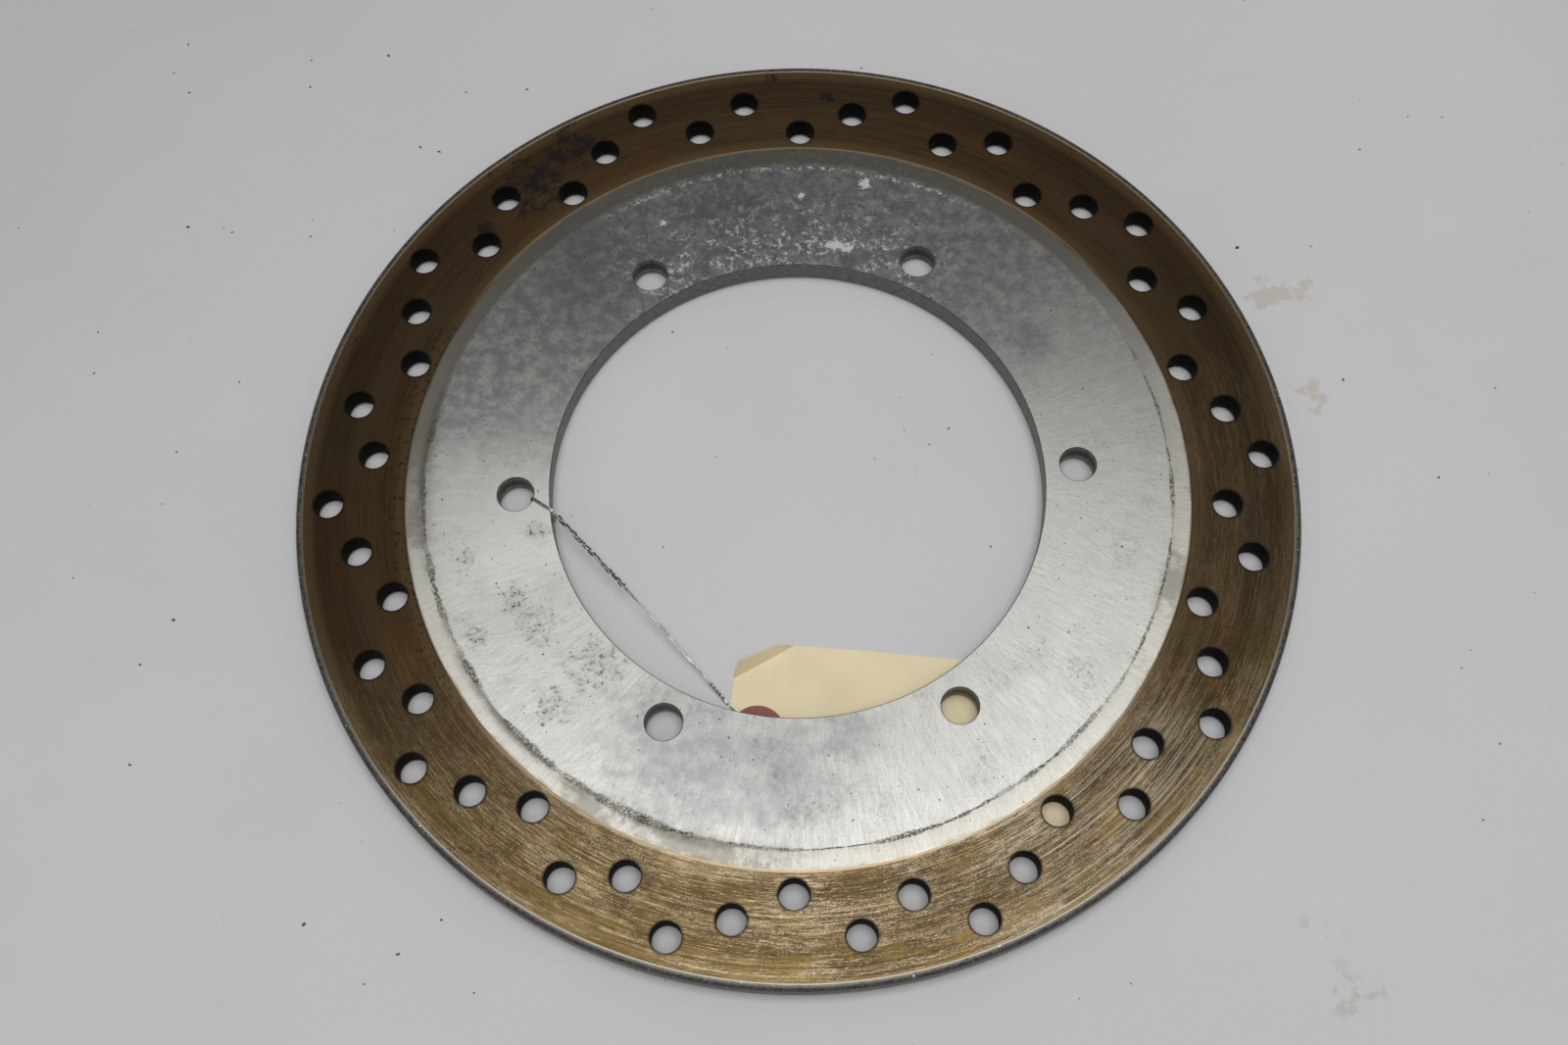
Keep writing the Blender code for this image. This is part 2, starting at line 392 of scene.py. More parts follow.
def ring_line(g):
    """The line that wanders round the flange, with the soft smear outside it on the left: dirt along a step,
    and painted shade of that step.
    """
    wander = g.ring_noise(24, 0.0, shift=3.0, detail=5.0, roughness=0.62)
    off = g.minus(g.radius, g.scaled(wander, 1.8, RING_LINE_RADIUS - 0.9))
    left = g.sector(205.0, 42.0, 30.0)
    uneven = g.step(g.ring_noise(46, 0.0, shift=8.0, detail=4.0, roughness=0.65), 0.36, 0.66, 0.16, 0.75)
    thickness = g.product(uneven, g.scaled(left, 0.9, 1.15))
    line = g.step(g.math("DIVIDE", g.math("ABSOLUTE", off), thickness), 1.4, 0.5)
    faint = g.step(g.ring_noise(60, 0.0, shift=15.0, detail=4.0), 0.34, 0.56, 0.35, 1.0)
    broken = g.step(g.flat_noise(0.8, shift=9.0, detail=4.0, roughness=0.8), 0.40, 0.54, 0.1, 1.0)
    line = g.product(line, faint, broken)
    # The smear: dirt beside the step, and painted shade of its soft edge, strongest at the left.
    smear = g.product(g.step(off, 3.4, 0.0), g.step(off, -0.5, 0.2))
    patchy = g.step(g.ring_noise(34, 0.12, shift=1.0, detail=5.0, roughness=0.65), 0.36, 0.62)
    smear = g.product(smear, patchy, g.scaled(left, 0.85, 0.15), 0.75)
    weaker_far = g.step(g.y, 60.0, 10.0, 0.35, 1.0)
    return g.product(weaker_far, g.highest(line, smear))


def far_side(g):
    """1 on the disc's far side, 0 on its near side, with a wandering limit between them."""
    leaning = g.scaled(g.x, -0.22, g.y)
    return g.step(g.scaled(g.flat_noise(30.0, detail=2.0), 60.0, leaning), 25.0, 90.0)


def ground_steel(g, brush, grain):
    """Bare steel: grinding marks, soft clouds, and a grain of dark and light points."""
    cloud = g.flat_noise(15.0, shift=33.0, detail=5.0, roughness=0.6)
    steel = g.mix(g.step(brush, 0.36, 0.64), STEEL_DULL, STEEL_BRIGHT)
    steel = g.coat(steel, STEEL_CLOUD, g.step(cloud, 0.42, 0.62, 0.0, 0.5))
    steel = g.coat(steel, STEEL_DARK_GRAIN, g.step(grain, 0.52, 0.72, 0.0, 0.45))
    return g.coat(steel, STEEL_LIGHT_GRAIN, g.step(grain, 0.46, 0.30, 0.0, 0.35))


def add_greys(g, steel, far):
    """Grey mottling over the far side, grey stains, and the cleaner patch by the wire's hole."""
    inside_line = g.step(g.radius, RING_LINE_RADIUS + 0.6, RING_LINE_RADIUS - 0.4, 0.15, 1.0)
    mottle = g.step(g.flat_noise(4.5, shift=3.0, detail=6.0, roughness=0.68), 0.36, 0.62)
    mottle = g.product(mottle, inside_line)
    steel = g.coat(steel, GREY_MOTTLE, mottle, far, 0.75)
    near_stains = g.spots(GREY_STAINS, ragged=0.55, cell=6.0, soft=1.0)
    far_stains = g.spots(FAR_STAINS, ragged=0.8, cell=9.0, soft=0.9)
    stains = g.product(g.highest(near_stains, far_stains), g.step(mottle, 0.0, 1.0, 0.62, 1.0))
    steel = g.coat(steel, GREY_STAIN, stains, 0.78)
    inner = g.step(g.radius, RING_LINE_RADIUS, RING_LINE_RADIUS - 6.0)
    return g.coat(steel, STEEL_CLEAN, g.sector(184.0, 8.0, 12.0), inner, 0.4)


def brown_specks(g):
    """Brown specks: thick in the stains, and thin elsewhere."""
    speckle = g.step(g.flat_noise(1.7, shift=11.0, detail=6.0, roughness=0.8), 0.50, 0.64)
    sparse = g.step(g.flat_noise(18.0, shift=7.0, detail=3.0), 0.52, 0.66, 0.0, 0.35)
    zone = g.highest(g.spots(BROWN_STAINS, ragged=0.9, cell=3.5, soft=0.8), sparse)
    return g.product(g.scaled(speckle, 0.9, 0.12), zone)


def chalk_flecks(g):
    """Chalky oxide on the far side: flecks by the bore and along the ring line, and a few spots."""
    flecks = g.step(g.flat_noise(1.9, shift=5.0, detail=6.0, roughness=0.8), 0.50, 0.60)
    patchy = g.step(g.flat_noise(7.0, shift=19.0, detail=3.0), 0.40, 0.54)
    by_bore = g.product(g.sector(90.0, 24.0, 22.0), g.step(g.radius, 104.0, 80.0, 0.2, 1.0), patchy)
    by_line = g.product(g.sector(88.0, 26.0, 10.0), g.step(g.off_radius(CHALK_LINE_RADIUS), 1.2, 0.3))
    flecks = g.product(flecks, g.highest(by_bore, by_line))
    return g.highest(flecks, g.spots(CHALK_SPOTS, ragged=1.1, cell=1.6))


def tint_collar(g, steel, far):
    """The ring between the ring line and the band: yellower, darkened on its far side as painted shade, with
    a painted highlight on its outer edge at the near and far ends, and stained.
    """
    collar = g.step(g.radius, RING_LINE_RADIUS - 0.4, RING_LINE_RADIUS + 0.8)
    steel = g.coat(steel, COLLAR_YELLOW, collar, 0.25)
    # Painted shade: the collar darkened on the far side, where its steel mirrors the dim ceiling.
    steel = g.coat(steel, COLLAR_FAR_SHADE, collar, far, 0.8)
    # Painted highlight: a bright edge where the step to the band catches the light, at the near and far
    # ends.
    ridge_highlight = g.step(g.radius, BAND_RADIUS - 0.7, BAND_RADIUS - 0.2)
    steel = g.coat(steel, COLLAR_RIDGE_HIGHLIGHT, g.ends(), ridge_highlight, 0.6)
    stained = g.spots(COLLAR_STAINS, ragged=0.7, cell=4.0, soft=0.9)
    outside_line = g.step(g.radius, RING_LINE_RADIUS - 3.0, RING_LINE_RADIUS + 1.0)
    return g.coat(steel, COLLAR_DIRT, stained, outside_line, 0.7)


def flange_material():
    """Radially ground steel, stained, and on its far side mottled grey and flecked with chalky oxide, with
    the collar there darkened as painted shade.
    """
    g = DiscGraph("disc_flange")
    brush = brush_lines(g)
    grain = g.flat_noise(0.6, shift=2.0, detail=3.0, roughness=0.75)
    far = far_side(g)
    steel = add_greys(g, ground_steel(g, brush, grain), far)
    specks = brown_specks(g)
    steel = g.coat(steel, BROWN_DIRT, specks)
    steel = g.coat(steel, PIT, g.step(g.flat_noise(1.1, shift=27.0, detail=1.0), 0.735, 0.765))
    chalk = chalk_flecks(g)
    steel = g.coat(steel, CHALK, chalk, 0.9)
    steel = tint_collar(g, steel, far)
    line = ring_line(g)
    # Dirt and painted shade along the ring line.
    steel = g.coat(steel, LINE_DIRT_AND_SHADE, line, 0.92)
    creep = g.scaled(g.ring_noise(90, 0.4, shift=5.0, detail=4.0, roughness=0.65), 2.4, g.radius)
    steel = g.coat(steel, BAND_CREEP, g.step(creep, BAND_RADIUS + 0.2, BAND_RADIUS + 1.5, 0.0, 0.8))

    rough = g.scaled(g.highest(specks, line), 0.2, g.scaled(brush, -0.10, 0.455))
    g.bump(g.scaled(grain, 0.5, brush), 0.012)
    g.brush(0.48, 0.0)
    return g.surface(steel, rough, g.minus(1.0, g.product(chalk, 0.95)))


# ------------ materials of the band

# (radius, degrees, size) of the black stains.
BAND_STAINS = ((132, 126, 11), (139, 118, 8), (129, 135.5, 3.5), (143.5, 90, 2.5), (136, 82.5, 2.6))

BROWN_DARK = (0.040, 0.024, 0.011)
BROWN_LIGHT = (0.086, 0.055, 0.027)
BROWN_CLOUD = (0.090, 0.047, 0.017)
BROWN_OLIVE = (0.062, 0.048, 0.028)
BROWN_OUTER = (0.024, 0.015, 0.009)
BROWN_BORDER = (0.125, 0.085, 0.042)
BROWN_GRAIN = (0.115, 0.080, 0.045)
BROWN_NEAR = (0.062, 0.040, 0.014)
BARE_GROOVE = (0.37, 0.305, 0.20)
GOLD = (0.175, 0.115, 0.034)
OUTER_GOLD = (0.125, 0.078, 0.022)
OCHRE = (0.21, 0.115, 0.035)
SOOT = (0.052, 0.036, 0.019)
SCORE_GLINT = (0.40, 0.33, 0.23)
DARK_SCORE = (0.050, 0.032, 0.016)
SILVER_HIGHLIGHT = (0.40, 0.375, 0.325)
RUST = (0.115, 0.060, 0.018)
BLACK_STAIN = (0.017, 0.015, 0.018)
BLACK_DOT = (0.020, 0.012, 0.009)
CRUST = (0.018, 0.011, 0.008)
HOLE_EDGE_SHADE = (0.022, 0.016, 0.010)
BAND_RIDGE_HIGHLIGHT = (0.42, 0.36, 0.26)
WORN_LIP_HIGHLIGHT = (0.48, 0.42, 0.32)


def lit_near_side(g):
    """1 on the disc's near side, a little at its right, and 0 elsewhere: where the band is painted as lit,
    mirroring the lamp.
    """
    near = g.step(g.scaled(g.flat_noise(30.0, detail=2.0), 50.0, g.y), -15.0, -85.0)
    return g.highest(near, g.product(g.sector(347.0, 12.0, 24.0), 0.22))


def score_lines(g):
    """Long fine lines round the band."""
    score = g.ring_noise(9, 1.5, detail=6.0, roughness=0.72)
    hair = g.ring_noise(70, 5.5, shift=30.0, detail=3.0, roughness=0.7)
    return g.scaled(hair, 0.5, g.product(score, 0.5))


def burnt_brown(g, lines, cloud, borders, grain):
    """The band's brown film: lined, clouded, darker outwards, and lighter at both borders."""
    brown = g.mix(g.step(lines, 0.38, 0.66), BROWN_DARK, BROWN_LIGHT)
    brown = g.coat(brown, BROWN_CLOUD, g.step(cloud, 0.44, 0.62, 0.0, 0.5))
    olive = g.ring_noise(20, 0.12, shift=70.0, detail=4.0)
    brown = g.coat(brown, BROWN_OLIVE, g.step(olive, 0.48, 0.64, 0.0, 0.5))
    brown = g.coat(brown, BROWN_OUTER, g.step(g.radius, 129.0, 137.0, 0.0, 0.4))
    brown = g.coat(brown, BROWN_BORDER, borders, 0.55)
    return g.coat(brown, BROWN_GRAIN, g.step(grain, 0.50, 0.74, 0.0, 0.35))


def bare_grooves(g, lines, cloud, borders, grain):
    """Where the pads have worn through the brown: along the lines, broken up by streaks and grain."""
    streak = g.ring_noise(210, 3.0, shift=44.0, detail=4.0, roughness=0.72)
    bare = g.scaled(borders, 0.035, lines)
    for marks, weight in ((grain, 0.55), (streak, 0.85), (cloud, 0.45)):
        bare = g.scaled(g.minus(marks, 0.5), weight, bare)
    return g.step(bare, 0.43, 0.715)


def tint_near_side(g, brown, near, grain):
    """Gold, ochre and soot, with a few bright and dark scores, only over the near side: part of the band's
    painted highlight where it mirrors the lamp, the bright scores painted as glints.
    """
    gold = g.step(g.ring_noise(34, 0.14, shift=77.0, detail=5.0, roughness=0.65), 0.50, 0.64)
    gold = g.highest(gold, g.product(g.sector(233.0, 18.0, 22.0), 0.55))
    brown = g.coat(brown, GOLD, gold, near, 0.42)
    ochre = g.step(g.flat_noise(4.5, shift=81.0, detail=5.0, roughness=0.7), 0.55, 0.66)
    brown = g.coat(brown, OCHRE, ochre, near, 0.5)
    soot = g.step(g.flat_noise(12.0, shift=61.0, detail=6.0, roughness=0.66), 0.43, 0.60)
    middle = g.product(g.sector(281.0, 8.0, 9.0), g.step(g.radius, 119.0, 123.0, 0.0, 0.75))
    brown = g.coat(brown, SOOT, g.highest(soot, middle), g.step(grain, 0.66, 0.42), near, 0.8)
    outer = g.step(g.ring_noise(60, 0.3, shift=88.0, detail=5.0), 0.40, 0.60)
    brown = g.coat(brown, OUTER_GOLD, outer, g.step(g.radius, 134.0, 141.0), near, 0.6)
    # Painted glints: bright scores, on the near side only.
    bright = g.step(g.ring_noise(12, 3.2, shift=91.0, detail=2.0, roughness=0.6), 0.62, 0.70)
    brown = g.coat(brown, SCORE_GLINT, bright, near, 0.5)
    dark = g.step(g.ring_noise(9, 2.4, shift=55.0, detail=3.0, roughness=0.7), 0.60, 0.68)
    return g.coat(brown, DARK_SCORE, dark, near, 0.65)


def add_band_stains(g, brown):
    """A painted silvery highlight at the lower right, rust along the inner border, black stains and dots,
    and crust at the left.
    """
    # Painted highlight: silver streaks where the band mirrors the lamp.
    silver_highlight = g.step(g.ring_noise(8, 1.3, shift=23.0, detail=5.0, roughness=0.7), 0.50, 0.62)
    brown = g.coat(brown, SILVER_HIGHLIGHT, silver_highlight, g.sector(308.0, 9.0, 10.0), 0.6)
    rust = g.step(g.ring_noise(70, 0.3, detail=4.0), 0.44, 0.64)
    brown = g.coat(brown, RUST, rust, g.step(g.radius, 120.5, 116.5), 0.4)
    broken = g.step(g.flat_noise(5.0, shift=2.0, detail=5.0, roughness=0.7), 0.40, 0.56)
    brown = g.coat(brown, BLACK_STAIN, g.spots(BAND_STAINS, ragged=0.9, cell=5.0), broken, 0.8)
    dots = g.step(g.flat_noise(1.5, shift=6.0, detail=3.0), 0.66, 0.72)
    brown = g.coat(brown, BLACK_DOT, dots, g.step(g.y, -20.0, 60.0), 0.8)
    crust = g.step(g.flat_noise(1.6, shift=41.0, detail=4.0, roughness=0.7), 0.54, 0.62)
    inner = g.step(g.radius, 124.0, 119.0)
    return g.coat(brown, CRUST, crust, g.sector(180.0, 22.0, 20.0), inner, 0.8)


def add_band_edges(g, brown, near):
    """Dark rings of painted shade round the drilled holes, a painted highlight on the step where the band
    starts, and the worn lip where it ends, painted brighter on the near side.
    """
    # Painted shade: dark rings round the drilled holes' edges.
    ring = g.step(g.hole_distance(), DRILL_RADIUS + 0.95, DRILL_RADIUS + 0.25)
    brown = g.coat(brown, HOLE_EDGE_SHADE, ring, 0.75)
    # Painted highlight: the band's side of the lit step, at the near and far ends.
    ridge_highlight = g.step(g.radius, BAND_RADIUS + 0.9, BAND_RADIUS + 0.3)
    brown = g.coat(brown, BAND_RIDGE_HIGHLIGHT, g.ends(), ridge_highlight, 0.6)
    # The worn lip: bright bare steel, with a painted highlight that is strongest on the near side.
    lip_highlight = g.step(g.radius, LIP_RADIUS - 0.35, LIP_RADIUS - 0.1)
    return g.coat(brown, WORN_LIP_HIGHLIGHT, lip_highlight, g.scaled(near, 0.7, 0.2))


def band_material():
    """Brown, scored friction band: smooth and dark on its far side, and on its near side painted lighter,
    with bare grooves, as a painted highlight where it mirrors the lamp.
    """
    g = DiscGraph("disc_band")
    near = lit_near_side(g)
    lines = score_lines(g)
    grain = g.ring_noise(1500, 3.4, shift=14.0, detail=3.0, roughness=0.75)
    cloud = g.ring_noise(26, 0.09, shift=12.0, detail=5.0, roughness=0.62)
    borders = g.highest(g.step(g.radius, 121.5, 117.0), g.step(g.radius, 141.5, 144.5))
    brown = burnt_brown(g, lines, cloud, borders, grain)
    # Painted highlight: on the near side, where the band mirrors the lamp, its own browns and the bare
    # grooves are laid on.
    brown = g.coat(brown, BROWN_NEAR, near, 0.75)
    brown = g.coat(brown, BARE_GROOVE, bare_grooves(g, lines, cloud, borders, grain), near)
    brown = tint_near_side(g, brown, near, grain)
    brown = add_band_stains(g, brown)
    brown = add_band_edges(g, brown, near)

    g.bump(g.scaled(g.product(grain, near), 0.25, lines), 0.025)
    g.brush(0.45, 0.25)
    return g.surface(brown, g.scaled(lines, -0.15, 0.50), 0.96)


# ------------ materials of the walls


def edge_material():
    """The outer wall: dull grey steel with rust specks and small bright chips."""
    g = Graph("disc_edge")
    place = g.vector(*g.place())
    specks = g.noise(place, scale=0.9, detail=5.0, roughness=0.7)
    chips = g.noise(place, scale=0.6, detail=3.0, roughness=0.7)
    steel = g.mix(g.step(specks, 0.35, 0.6), (0.085, 0.080, 0.070), (0.165, 0.158, 0.142))
    steel = g.mix(g.step(specks, 0.60, 0.68), steel, (0.10, 0.055, 0.028))
    steel = g.mix(g.step(chips, 0.66, 0.69), steel, (0.60, 0.60, 0.56))
    g.bump(specks, 0.06)
    return g.surface(steel, g.step(specks, 0.4, 0.7, 0.38, 0.7), g.step(specks, 0.57, 0.68, 0.95, 0.3))


def bore_material():
    """The bore's wall: grey machined steel, streaked round the disc."""
    g = DiscGraph("disc_bore")
    place = g.vector(g.product(g.angle, 30.0), 0.0, g.product(g.z, 4.0))
    streaks = g.noise(place, detail=4.0)
    steel = g.mix(g.step(streaks, 0.35, 0.65), (0.09, 0.09, 0.08), (0.22, 0.215, 0.20))
    g.bump(streaks, 0.03)
    return g.surface(steel, 0.45, 0.9)


def hole_material():
    """Walls of the drilled holes, painted near black as the shade down the holes, with a faint mottle."""
    g = Graph("disc_hole")
    hole_mottle = g.noise(g.vector(*g.place()), scale=0.9, detail=5.0, roughness=0.65)
    # Painted shade: near black walls down the holes.
    color = g.mix(g.step(hole_mottle, 0.4, 0.62), (0.001, 0.001, 0.001), (0.009, 0.007, 0.005))
    g.bump(hole_mottle, 0.05)
    g.shader.inputs["Specular IOR Level"].default_value = 0.08
    return g.surface(color, 0.7, 0.0)


def bolt_material():
    """Walls of the bolt holes: dull bored steel near both faces, and painted shade between, black where
    shadow falls down the hole.
    """
    g = Graph("disc_bolt_hole")
    x, y, z = g.place()
    wear = g.noise(g.vector(x, y, z), scale=0.7, detail=5.0, roughness=0.65)
    steel = g.mix(g.step(wear, 0.38, 0.62), (0.13, 0.128, 0.116), (0.25, 0.245, 0.225))
    unshaded = g.step(g.math("ABSOLUTE", z), FACE - 2.7, FACE - 1.3)
    # Painted shade: black down the hole between the faces.
    color = g.mix(unshaded, (0.008, 0.007, 0.006), steel)
    g.bump(wear, 0.03)
    return g.surface(color, 0.5, g.product(unshaded, 0.85))


# ------------ meshes and objects


def finished_mesh(shape, name):
    """The shape as a mesh."""
    mesh = bpy.data.meshes.new(name)
    shape.to_mesh(mesh)
    shape.free()
    return mesh


def linked_object(name, data):
    obj = bpy.data.objects.new(name, data)
    bpy.context.scene.collection.objects.link(obj)
    return obj


def apply_modifiers(obj):
    bpy.context.view_layer.update()
    mesh = bpy.data.meshes.new_from_object(obj.evaluated_get(bpy.context.evaluated_depsgraph_get()))
    obj.modifiers.clear()
    obj.data = mesh


def cut_away(obj, cutter):
    """Cuts the cutter's shape out of an object, and removes the cutter."""
    cut = obj.modifiers.new("Cut", "BOOLEAN")
    cut.operation = "DIFFERENCE"
    cut.solver = "EXACT"
    cut.object = cutter
    apply_modifiers(obj)
    bpy.data.objects.remove(cutter)


def thicken(obj, thickness):
    solid = obj.modifiers.new("Thickness", "SOLIDIFY")
    solid.thickness = thickness * MM
    solid.offset = 0.0


def bridge(shape, first, second):
    """The faces between two closed loops of points."""
    faces = []
    for i in range(len(first)):
        after = (i + 1) % len(first)
        faces.append(shape.faces.new((first[i], second[i], second[after], first[after])))
    return faces


# ------------ the disc

LOOKS = {
    "flange": flange_material,
    "band": band_material,
    "edge": edge_material,
    "bore": bore_material,
    "hole": hole_material,
    "bolt": bolt_material,
}
SLOTS = tuple(LOOKS)


def band_scores():
    """(radius, width, depth) of the grooves that the pads have worn."""
    draw = random.Random(7)
    grooves = []
    radius = BAND_RADIUS + 1.2
    while radius < LIP_RADIUS - 0.6:
        grooves.append((radius, draw.uniform(0.25, 0.7), draw.uniform(0.004, 0.03)))
        radius += draw.uniform(0.5, 1.6)
    return grooves


def band_rings():
    """(radius, height, material) over the scored band."""
    grooves = band_scores()
    worn = FACE - BAND_WEAR
    count = int((LIP_RADIUS - BAND_RADIUS) / RING_SPACING)
    for i in range(count + 1):
        radius = BAND_RADIUS + 0.2 + (LIP_RADIUS - BAND_RADIUS - 0.4) * i / count
        depth = sum(d * math.exp(-(((radius - r) / w) ** 2)) for r, w, d in grooves)
        yield radius, worn - depth, "band"


def shoulder_rings():
    """(radius, height, material) over the rounded shoulder, down to the outer wall."""
    for step in range(SHOULDER_STEPS + 1):
        turn = math.pi / 2 * step / SHOULDER_STEPS
        radius = SHOULDER_START + (OUTER_RADIUS - SHOULDER_START) * math.sin(turn)
        yield radius, FACE - SHOULDER_DROP * (1 - math.cos(turn)), "edge"


def face_rings():
    """(radius, height over the mid-plane, material) from the bore to the outer wall, on one face."""
    return [
        (BORE_RADIUS, FACE - BORE_CHAMFER, "bore"),
        (BORE_RADIUS + BORE_CHAMFER, FACE, "flange"),
        (BORE_RADIUS + 0.6, FACE, "flange"),
        (BAND_RADIUS - 0.5, FACE, "flange"),
        (BAND_RADIUS - 0.05, FACE, "band"),
        *band_rings(),
        (LIP_RADIUS, FACE - 0.02, "band"),
        *shoulder_rings(),
    ]


def turned_disc():
    """The plain disc as a grid of rings and steps, closed through both faces."""
    upper = face_rings()
    lower = [(radius, -height) for radius, height, _ in reversed(upper)]
    section = [(radius, height) for radius, height, _ in upper] + lower
    looks = [name for _, _, name in upper]
    # Each face of the section takes the look of the ring that starts it, seen from the bore outwards.
    between = looks[:-1] + ["edge"] + looks[-2::-1] + ["bore"]
    shape = bmesh.new()
    loops = []
    for radius, height in section:
        loop = []
        for step in range(DISC_STEPS):
            turn = math.tau * step / DISC_STEPS
            place = (radius * math.cos(turn) * MM, radius * math.sin(turn) * MM, height * MM)
            loop.append(shape.verts.new(place))
        loops.append(loop)
    for i, look in enumerate(between):
        for face in bridge(shape, loops[i], loops[(i + 1) % len(loops)]):
            face.material_index = SLOTS.index(look)
    mesh = finished_mesh(shape, "disc_turned")
    for look in SLOTS:
        mesh.materials.append(LOOKS[look]())
    return mesh


def hole_places():
    """(x, y, radius, chamfer, look) of every hole in the disc."""
    for number in range(BOLT_COUNT):
        turn = math.tau * number / BOLT_COUNT
        x = BOLT_CIRCLE_RADIUS * math.cos(turn)
        y = BOLT_CIRCLE_RADIUS * math.sin(turn)
        yield x, y, BOLT_RADIUS, BOLT_CHAMFER, "bolt"
    for number in range(DRILL_REPEATS):
        for row, degrees in DRILL_PATTERN:
            turn = math.tau * number / DRILL_REPEATS + math.radians(degrees)
            radius = INNERMOST_ROW + row * ROW_STEP
            yield radius * math.cos(turn), radius * math.sin(turn), DRILL_RADIUS, DRILL_CHAMFER, "hole"


def hole_cutter(materials):
    """Every hole as a cylinder that flares at both faces, in one object."""
    shape = bmesh.new()
    over = 1.0
    for x, y, radius, chamfer, look in hole_places():
        section = (
            (radius + chamfer + over, FACE + over),
            (radius, FACE - chamfer),
            (radius, -FACE + chamfer),
            (radius + chamfer + over, -FACE - over),
        )
        loops = []
        for wide, height in section:
            loop = []
            for i in range(HOLE_SEGMENTS):
                turn = math.tau * (i + HOLE_TURN) / HOLE_SEGMENTS
                place = Vector((x + wide * math.cos(turn), y + wide * math.sin(turn), height))
                loop.append(shape.verts.new(place * MM))
            loops.append(loop)
        faces = [shape.faces.new(loops[0]), shape.faces.new(reversed(loops[-1]))]
        for upper, lower in zip(loops, loops[1:]):
            faces += bridge(shape, upper, lower)
        for face in faces:
            face.material_index = SLOTS.index(look)
    mesh = finished_mesh(shape, "disc_holes")
    for material in materials:
        mesh.materials.append(material)
    return linked_object("disc_hole_cutter", mesh)


def make_disc():
    disc = linked_object("disc_surface", turned_disc())
    cut_away(disc, hole_cutter(disc.data.materials))
    disc.data.shade_smooth()
    disc.data.set_sharp_from_angle(angle=DISC_CREASE)
    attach(disc, "rotor")
    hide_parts("brake_disc")


# ------------ the wire


def smooth_route(route, spacing):
    """Points about spacing apart on a smooth curve through the route's points, in mm."""
    points = [Vector(point) for point in route]
    padded = [2 * points[0] - points[1], *points, 2 * points[-1] - points[-2]]
    line = []
    for before, start, end, after in zip(padded, padded[1:], padded[2:], padded[3:]):
        steps = max(1, round((end - start).length / spacing))
        for step in range(steps):
            t = step / steps
            line.append(
                start * (2 * t**3 - 3 * t**2 + 1)
                + (end - before) / 2 * (t**3 - 2 * t**2 + t)
                + end * (3 * t**2 - 2 * t**3)
                + (after - start) / 2 * (t**3 - t**2)
            )
    line.append(points[-1])
    return line


def frames_along(line, first_side):
    """(point, side, up, distance) along a line, with side and up square to it and not twisting."""
    side = first_side.normalized()
    travelled = 0.0
    frames = []
    for i, point in enumerate(line):
        ahead = line[min(i + 1, len(line) - 1)] - line[max(i - 1, 0)]
        ahead.normalize()
        side = (side - ahead * side.dot(ahead)).normalized()
        if i:
            travelled += (point - line[i - 1]).length
        frames.append((point, side, ahead.cross(side), travelled))
    return frames


def add_tube(shape, line, first_side, sides=8):
    """One closed strand along a line, narrower at both ends."""
    frames = frames_along(line, first_side)
    loops = []
    for i, (point, side, up, _) in enumerate(frames):
        wide = STRAND / 2 * (0.6 if i in (0, len(frames) - 1) else 1.0)
        loop = []
        for k in range(sides):
            turn = math.tau * k / sides
            place = point + (side * math.cos(turn) + up * math.sin(turn)) * wide
            loop.append(shape.verts.new(place * MM))
        loops.append(loop)
    for first, second in zip(loops, loops[1:]):
        for k in range(sides):
            after = (k + 1) % sides
            shape.faces.new((first[k], first[after], second[after], second[k]))
    shape.faces.new(list(reversed(loops[0])))
    shape.faces.new(loops[-1])


def wound(line, first_side, offset, turns, wobble, seed):
    """A line wound round another: offset(distance) away from it, with turns(distance) turns so far."""
    strand = []
    for point, side, up, distance in frames_along(line, first_side):
        turn = math.tau * turns(distance)
        shake = Vector((perlin.noise(Vector((distance * 0.35, seed, axis * 7.0))) for axis in range(3)))
        away = offset(distance)
        strand.append(point + (side * math.cos(turn) + up * math.sin(turn)) * away + shake * wobble)
    return strand


def ramp(value, low, high):
    """A smooth step from 0 to 1 as value goes from low to high."""
    t = min(1.0, max(0.0, (value - low) / (high - low)))
    return t * t * (3 - 2 * t)


def wire_object(name, lines, first_side):
    shape = bmesh.new()
    for line in lines:
        add_tube(shape, line, first_side)
    mesh = finished_mesh(shape, name)
    mesh.shade_smooth()
    return linked_object(name, mesh)


def wire_material():
    """Bright worn steel, darker where the wire is bound: painted shade of the tight twists."""
    g = Graph("wire_steel")
    x, y, z = g.place()
    marks = g.noise(g.vector(x, y, z), scale=0.5, detail=3.0, roughness=0.6)
    steel = g.mix(g.step(marks, 0.38, 0.6), (0.36, 0.355, 0.35), (0.60, 0.59, 0.58))
    # Painted shade: the bound part darkened, where the twists shade each other.
    bound = g.product(g.step(y, -38.0, -31.0), g.step(x, -71.8, -70.8))
    steel = g.coat(steel, (0.10, 0.097, 0.09), bound, 0.45)
    return g.surface(steel, g.step(marks, 0.3, 0.7, 0.16, 0.26), 1.0)


def core_strands(stem, length, bound_to, up):
    """The two strands that run the whole way, twisted lightly, and tightly before the tag."""

    def turns(distance):
        tight = END_TURNS * ramp(distance, length - 9.0, length - 1.0)
        return CORE_TWIST * distance + tight + BOUND_CORE_TWIST * min(distance, bound_to)

    def offset(distance):
        loose = ramp(distance, bound_to, bound_to + 8.0)
        closing = ramp(distance, length - 14.0, length - 8.0)
        return STRAND * (0.5 + 0.14 * loose * (1 - closing))

    strands = []
    for half in (0.0, 0.5):
        strands.append(wound(stem, up, offset, lambda d, h=half: turns(d) + h, 0.03, 1.0 + half))
    return strands


